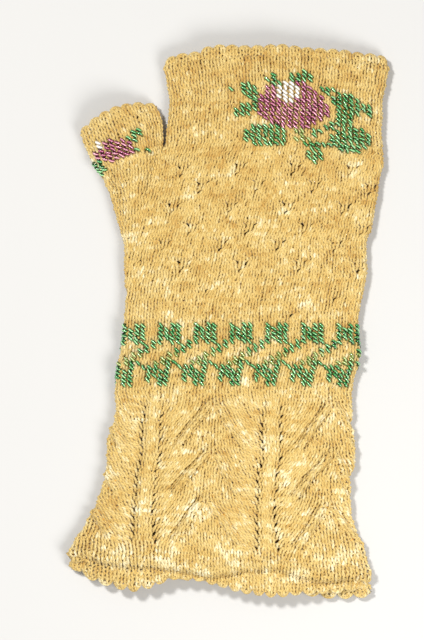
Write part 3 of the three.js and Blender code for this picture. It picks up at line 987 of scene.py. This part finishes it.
def seat_bead(beads, place, stitch, height, gusset):
    """Hangs a bead in front of one stitch."""
    step = 0.05
    right = unit(spot(place, stitch + step, height, gusset) - spot(place, stitch - step, height, gusset))
    up = unit(spot(place, stitch, height + step, gusset) - spot(place, stitch, height - step, gusset))
    centre = spot(place, stitch, height, gusset, BEAD_SEAT)
    centre = centre + chance.normal(0, BEAD_STRAY) * right + chance.normal(0, BEAD_STRAY) * up
    out = unit(spot(place, stitch, height, gusset, 1) - spot(place, stitch, height, gusset))
    centre[2] = max(centre[2], BEAD_REST * BEAD_RADIUS)
    beads.add(centre, right, up, out)


# The vine's chart, top row first: G a green bead, o an olive one
VINE_CHART = (
    ".GG..G",
    "GGG..G",
    "GGG..G",
    "GGG..G",
    ".GG.GG",
    "...GG.",
    "..GG..",
    ".oo...",
    "oo....",
    "oGG..o",
    ".G.GGG",
    "GG..GG",
    "GG..GG",
    "GG..G.",
    "GG....")
VINE_GLASS = {"G": "green", "o": "olive"}
VINE_START = 1
VINE_FIRST_ROW = BAND_ROW + 1
# Stitches without a bead at one side, where the repeat doesn't come out even
VINE_JOG = (60, 62)

# The rose and its leaves lie round its middle, in millimetres across and up the hand
ROSE = (20.9, 193.5)
# Columns: across, up, half length, half width, turn in degrees
ROSE_PETALS = (
    (0.0, -0.4, 14.4, 8.4, -3),
    (4.7, 4.4, 5.8, 4.6, -30),
    (-8.7, 5.4, 3.6, 3.2, 0))
ROSE_HEART = ((-1.0, 5.8, 4.5, 3.7, 0),)
ROSE_LEAVES = (
    (-17.6, 7.1, 4.4, 3.1, -25),
    (-24.4, 6.9, 2.2, 1.0, 15),
    (-19.0, -1.8, 4.5, 2.6, 15),
    (-15.2, 1.6, 1.4, 1.6, 0),
    (-7.7, 11.1, 2.6, 1.9, 20),
    (-4.5, 9.1, 1.2, 1.9, 0),
    (4.7, 11.7, 5.1, 2.7, 0),
    (6.3, 15.4, 1.2, 0.9, 0),
    (13.6, 6.7, 2.3, 1.7, 0),
    (17.2, 7.5, 1.3, 0.9, 10),
    (22.5, 1.2, 6.6, 3.8, -15),
    (29.4, -0.8, 3.6, 1.9, -30),
    (21.3, -4.1, 3.3, 5.0, 0),
    (23.3, -13.4, 8.0, 4.9, 0),
    (8.9, -18.8, 2.9, 4.3, 0),
    (4.7, -15.8, 1.0, 1.2, 0),
    (-10.3, -11.9, 9.2, 4.8, 0))
# Columns: across and up at one end, across and up at the other
ROSE_STEMS = (
    (-0.2, -9.3, 5.1, -11.3),
    (0.6, -12.8, 7.9, -13.8),
    (7.9, -10.5, 7.9, -14.6),
    (9.1, -9.7, 12.4, -9.7),
    (12.4, -9.7, 12.4, -12.0),
    (12.4, -9.3, 17.6, -7.3),
    (10.7, -14.6, 16.4, -15.4))
STEM_HALF_WIDTH = 0.95
OLIVE_STEMS = 2
# Power of the curve round a petal or leaf, where 2 is an ellipse and more is squarer
SPOT_POWER = 2.3

# The small rose of the thumb, about the same zero as the mitten
THUMB_ROSE = (-50.6, 175.7)
THUMB_PETALS = ((0.0, 0.0, 7.8, 4.2, 8),)
THUMB_HEART = ((-6.2, 2.4, 1.4, 1.2, 0),)
THUMB_LEAVES = (
    (7.2, 5.3, 3.9, 2.1, 38),
    (9.1, 0.0, 1.2, 0.9, 0),
    (12.7, 0.0, 1.0, 0.9, 0),
    (-5.6, -5.6, 2.1, 4.4, 20))


def covered(spots, x, y):
    for across, up, length, width, turn in spots:
        cos = math.cos(math.radians(turn))
        sin = math.sin(math.radians(turn))
        along = ((x - across) * cos + (y - up) * sin) / length
        off = ((y - up) * cos - (x - across) * sin) / width
        if abs(along) ** SPOT_POWER + abs(off) ** SPOT_POWER < 1:
            return True
    return False


def on_stem(stem, x, y):
    start = np.array(stem[:2])
    way = np.array(stem[2:]) - start
    share = np.clip(((x - start[0]) * way[0] + (y - start[1]) * way[1]) / (way @ way), 0, 1)
    near = start + share * way
    return math.hypot(x - near[0], y - near[1]) < STEM_HALF_WIDTH


def bead_vine(beads):
    back = VINE_JOG[1] - VINE_JOG[0]
    for line, marks in enumerate(VINE_CHART):
        index = VINE_FIRST_ROW + len(VINE_CHART) - 1 - line
        row = ROWS[index]
        for j in range(row.count):
            mark = marks[(j - VINE_START - back * (j >= VINE_JOG[1])) % len(marks)]
            if mark in VINE_GLASS and not VINE_JOG[0] <= j < VINE_JOG[1]:
                seat_bead(beads[VINE_GLASS[mark]], body_place, row.at[j], row_height(index), 0)


def flower_colour(x, y, parts, stems):
    for colour, spots in parts:
        if covered(spots, x, y):
            return colour
    for number, stem in enumerate(stems):
        if on_stem(stem, x, y):
            return "olive" if number < OLIVE_STEMS else "green"
    return None


def bead_flower(beads, seats, middle, parts, stems=()):
    """A bead on each stitch that a petal, a leaf or a stem covers."""
    for place, at, height, gusset in seats:
        x, y = spot(place, at, height, gusset)[:2]
        colour = flower_colour(x - ORIGIN[0] - middle[0], y - ORIGIN[1] - middle[1], parts, stems)
        if colour:
            seat_bead(beads[colour], place, at, height, gusset)


def hand_seats():
    """The stitches of the hand's upper layer."""
    seats = []
    for index in range(PALM_ROW, ALL_ROWS):
        row = ROWS[index]
        gusset = gusset_stitches(index)
        for at in row.at[row.at < FACE]:
            seats.append((body_place, at, row_height(index), gusset))
    return seats


def thumb_seats():
    """The stitches of the gusset's and the thumb's upper layer."""
    seats = []
    for index in range(PALM_ROW, FINGER_ROW):
        count = gusset_stitches(index)
        for j in range(count):
            seats.append((body_place, j - count + 0.5, row_height(index), count))
    pitch = THUMB_LENGTH / THUMB_ROWS
    for index in range(THUMB_ROWS):
        for j in range(THUMB_FACE):
            seats.append((thumb_place, j + 0.5, pitch * (index + 0.5), 0))
    return seats


# Materials
class Nodes:
    """A short way to build a material's nodes."""

    def __init__(self, name):
        self.material = bpy.data.materials.new(name)
        self.material.use_nodes = True
        self.tree = self.material.node_tree
        self.tree.nodes.clear()
        self.shader = self.add("ShaderNodeBsdfPrincipled")
        self.add("ShaderNodeOutputMaterial", {0: self.shader.outputs[0]})

    def add(self, kind, inputs=(), **settings):
        node = self.tree.nodes.new(kind)
        for key, value in settings.items():
            setattr(node, key, value)
        for socket, value in dict(inputs).items():
            self.feed(node, socket, value)
        return node

    def feed(self, node, socket, value):
        """Sets a socket to a plain value or links it to another node's output."""
        if isinstance(value, bpy.types.NodeSocket):
            self.tree.links.new(value, node.inputs[socket])
        else:
            node.inputs[socket].default_value = value

    def set(self, **values):
        for key, value in values.items():
            self.feed(self.shader, key.replace("_", " "), value)

    def place(self):
        return self.add("ShaderNodeTexCoord").outputs["Object"]

    def parts(self, vector):
        return self.add("ShaderNodeSeparateXYZ", {0: vector}).outputs

    def math(self, operation, *values):
        return self.add("ShaderNodeMath", enumerate(values), operation=operation).outputs[0]

    def noise(self, where, scale, detail, dimensions="3D"):
        inputs = {"Scale": scale, "Detail": detail, "W" if dimensions == "1D" else "Vector": where}
        return self.add("ShaderNodeTexNoise", inputs, noise_dimensions=dimensions).outputs[0]

    def mix(self, share, first, second, blend="MIX"):
        inputs = {0: share, 6: first, 7: second}
        return self.add("ShaderNodeMix", inputs, data_type="RGBA", blend_type=blend).outputs[2]

    def bump(self, height, strength, distance):
        inputs = {"Strength": strength, "Distance": distance, "Height": height}
        self.set(Normal=self.add("ShaderNodeBump", inputs).outputs[0])

    def ramp(self, value, stops):
        node = self.add("ShaderNodeValToRGB", {0: value})
        elements = node.color_ramp.elements
        while len(elements) < len(stops):
            elements.new(0.5)
        for element, (position, colour) in zip(elements, stops):
            element.position = position
            element.color = (*colour, 1)
        return node.outputs[0]


# Dye of the yarn, from its darkest to its palest, as linear colour
YARN_DYE = ((0.34, (0.52, 0.3, 0.065)), (0.46, (0.635, 0.435, 0.13)), (0.55, (0.7, 0.515, 0.19)),
            (0.66, (0.89, 0.8, 0.52)))
# Painted shade seen in the gaps between the stitches, darker and more orange than the yarn, as linear
# colour
PAINTED_GAP_SHADE = ((0.35, (0.62, 0.3, 0.04)), (0.65, (0.76, 0.44, 0.09)))
PALER_CUFF = 0.3
PLY_TURN = 1.7
PLY_COUNT = 2
FURROW_SHADE = 0.125


def yarn_material():
    nodes = Nodes("gold_yarn")
    nodes.set(Roughness=0.72, Sheen_Weight=0.3, Sheen_Roughness=0.45, Specular_IOR_Level=0.3)
    around, along = nodes.parts(nodes.add("ShaderNodeUVMap").outputs[0])[:2]
    place = nodes.place()
    long_dye = nodes.noise(along, 0.16, 2.0, "1D")
    short_dye = nodes.noise(along, 1.1, 3.0, "1D")
    cloud = nodes.noise(place, 110.0, 4.0)
    tone = nodes.math("MULTIPLY_ADD", long_dye, 0.25, nodes.math("MULTIPLY", cloud, 0.4))
    tone = nodes.math("MULTIPLY_ADD", short_dye, 0.35, tone)
    # The yarn is made paler towards the cuff, lower down the mitten, by a steady gradient
    tone = nodes.math("MULTIPLY_ADD", nodes.parts(place)[1], -PALER_CUFF, tone)
    turn = nodes.math("MULTIPLY", along, 2 * math.pi / (UV_SCALE * PLY_TURN))
    ply = nodes.math("SINE", nodes.math("MULTIPLY_ADD", around, 2 * math.pi * PLY_COUNT, turn))
    fibre = nodes.noise(place, 4200.0, 2.0)
    nodes.bump(nodes.math("MULTIPLY_ADD", ply, 0.35, fibre), 0.6, 0.0003)
    furrow = nodes.math("MULTIPLY_ADD", ply, FURROW_SHADE, 1.05 - FURROW_SHADE)
    nodes.set(Base_Color=nodes.mix(1.0, nodes.ramp(tone, YARN_DYE), furrow, "MULTIPLY"))
    return nodes.material


def painted_gap_shade_material():
    """Painted shade for the gaps between the stitches: the wool's colour made darker and more orange, with
    a soft grain.
    """
    nodes = Nodes("gap_shade_painted")
    nodes.set(Roughness=0.9, Sheen_Weight=0.2, Specular_IOR_Level=0.2)
    place = nodes.place()
    nodes.set(Base_Color=nodes.ramp(nodes.noise(place, 500.0, 3.0), PAINTED_GAP_SHADE))
    nodes.bump(nodes.noise(place, 1800.0, 2.0), 0.8, 0.0004)
    return nodes.material


# Columns: name, painted shade at the hole's ends, middle, painted highlight along the middle, transmission,
# roughness
GLASS = {
    "green": ("green_bead", (0.0, 0.04, 0.005), (0.03, 0.36, 0.06), (0.6, 0.92, 0.48), 0.1, 0.16),
    "purple": ("purple_bead", (0.08, 0.004, 0.02), (0.48, 0.06, 0.19), (1.0, 0.6, 0.6), 0.1, 0.18),
    "white": ("white_bead", (0.5, 0.44, 0.34), (0.9, 0.87, 0.82), (0.95, 0.94, 0.92), 0.0, 0.2),
    "olive": ("olive_bead", (0.07, 0.12, 0.01), (0.3, 0.4, 0.08), (0.72, 0.78, 0.36), 0.1, 0.18)}


def bead_material(colour):
    """Glass with painted shade towards the hole's ends and a painted highlight along the middle, a little
    different from bead to bead.
    """
    name, painted_end_shade, middle, painted_highlight, through, rough = GLASS[colour]
    nodes = Nodes(name)
    nodes.set(Roughness=rough, IOR=1.52, Transmission_Weight=through, Coat_Weight=0.6, Coat_Roughness=0.08)
    along, number = nodes.parts(nodes.add("ShaderNodeUVMap").outputs[0])[:2]
    batch = nodes.add("ShaderNodeTexWhiteNoise", {"W": number}, noise_dimensions="1D")
    # Painted shade darkens the ends of each bead's hole, and a painted highlight runs along its middle,
    # stronger on some beads than on others
    low = nodes.ramp(along, ((0.24, painted_end_shade), (0.45, middle), (0.55, middle), (0.76, painted_end_shade)))
    with_painted_highlight = ((0.2, painted_end_shade), (0.33, middle), (0.45, painted_highlight), (0.55, painted_highlight), (0.67, middle), (0.8, painted_end_shade))
    nodes.set(Base_Color=nodes.mix(batch.outputs["Value"], low, nodes.ramp(along, with_painted_highlight)))
    nodes.bump(nodes.noise(nodes.place(), 1500.0, 1.0), 0.15, 0.0001)
    return nodes.material


def finish_piece(piece, slot, *nodes):
    if nodes:
        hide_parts(*nodes)
    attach(piece, "root")


def build_knitting():
    wool = yarn_material()
    middle = PALM_ROW + PALM_ROWS // 2
    lace_middle = LACE_ROWS // 2
    pieces = (
        (knit_hem("cuff_hem_knit", cuff_hem_place, ROUND, CUFF_HEM_ROWS, wool), ("cuff_hem",)),
        (knit_body("lace_lower_knit", 0, lace_middle, wool), ("lace_cuff",)),
        (knit_body("lace_upper_knit", lace_middle, BAND_ROW, wool), ()),
        (knit_body("band_knit", BAND_ROW, PALM_ROW, wool), ("bead_band",)),
        (knit_body("palm_knit", PALM_ROW, middle, wool), ("hand",)),
        (knit_body("gusset_knit", middle, FINGER_ROW, wool), ("thumb_gusset",)),
        (knit_body("fingers_knit", FINGER_ROW, ALL_ROWS, wool), ()),
        (knit_hem("finger_hem_knit", finger_hem_place, FINGER_ROUND, FINGER_HEM_ROWS, wool),
         ("finger_hem",)),
        (knit_thumb(wool), ("thumb",)),
        (knit_hem("thumb_hem_knit", thumb_hem_place, 2 * THUMB_FACE, THUMB_HEM_ROWS, wool), ("thumb_hem",)))
    for piece, nodes in pieces:
        finish_piece(piece, "gold_yarn", *nodes)
    # A sheet of painted shade behind the stitches, darker and more orange than the yarn
    finish_piece(build_painted_shade_sheet(painted_gap_shade_material()), "gold_yarn")


def build_beads():
    glass = {colour: bead_material(colour) for colour in GLASS}
    motifs = {name: {colour: Beads() for colour in GLASS} for name in ("vine", "rose", "thumb_rose")}
    bead_vine(motifs["vine"])
    rose = (("white", ROSE_HEART), ("purple", ROSE_PETALS), ("green", ROSE_LEAVES))
    bead_flower(motifs["rose"], hand_seats(), ROSE, rose, ROSE_STEMS)
    small = (("white", THUMB_HEART), ("purple", THUMB_PETALS), ("green", THUMB_LEAVES))
    bead_flower(motifs["thumb_rose"], thumb_seats(), THUMB_ROSE, small)
    for motif, colours in motifs.items():
        for colour, beads in colours.items():
            if beads.count:
                piece = beads.mesh(motif + "_" + colour + "_beads", glass[colour])
                finish_piece(piece, GLASS[colour][0])


# The set, with the size of a photo's pixel in millimetres and the mitten's zero in pixels
PHOTO_WIDTH = 424
PHOTO_HEIGHT = 640
PIXEL = 0.405
PHOTO_ZERO = (240, 585)
CAMERA_HEIGHT = math.radians(84)
CAMERA_AWAY = 2.5


def build_floor():
    nodes = Nodes("floor")
    nodes.set(Base_Color=(0.56, 0.55, 0.53, 1), Roughness=0.9)
    corners = np.array([(-2, -2, 0), (2, -2, 0), (2, 2, 0), (-2, 2, 0)])
    quad_mesh("floor", corners, np.array([(0, 1, 2, 3)]), nodes.material)


def add_light(name, place, size, power):
    lamp = bpy.data.lights.new(name, "AREA")
    lamp.shape = "DISK"
    lamp.size = size
    lamp.energy = power
    light = new_object(name, lamp)
    light.location = place
    light.rotation_euler = (-Vector(place)).to_track_quat("-Z", "Y").to_euler()


def build_light():
    bpy.context.scene.view_settings.view_transform = "Standard"
    world = bpy.data.worlds.new("studio")
    bpy.context.scene.world = world
    world.use_nodes = True
    sky = world.node_tree.nodes["Background"]
    sky.inputs[0].default_value = (1, 1, 1, 1)
    sky.inputs[1].default_value = 0.35
    add_light("key", (-0.72, 0.56, 1.32), 0.28, 25.0)
    add_light("fill", (0.4, -0.4, 0.5), 0.4, 5.0)


def build_camera():
    x = (PHOTO_WIDTH / 2 - PHOTO_ZERO[0]) * PIXEL + ORIGIN[0]
    y = (PHOTO_ZERO[1] - PHOTO_HEIGHT / 2) * PIXEL + ORIGIN[1]
    target = Vector((x * MM, y * MM, 0.005))
    lens = bpy.data.cameras.new("camera")
    lens.sensor_fit = "VERTICAL"
    lens.sensor_height = 36.0
    lens.lens = 36.0 * CAMERA_AWAY / (PHOTO_HEIGHT * PIXEL * MM * math.sin(CAMERA_HEIGHT))
    camera = new_object("camera", lens)
    away = Vector((0, -math.cos(CAMERA_HEIGHT), math.sin(CAMERA_HEIGHT)))
    camera.location = target + away * CAMERA_AWAY
    camera.rotation_euler = (-away).to_track_quat("-Z", "Y").to_euler()
    bpy.context.scene.camera = camera


build_camera()
build_light()
build_floor()
build_knitting()
build_beads()
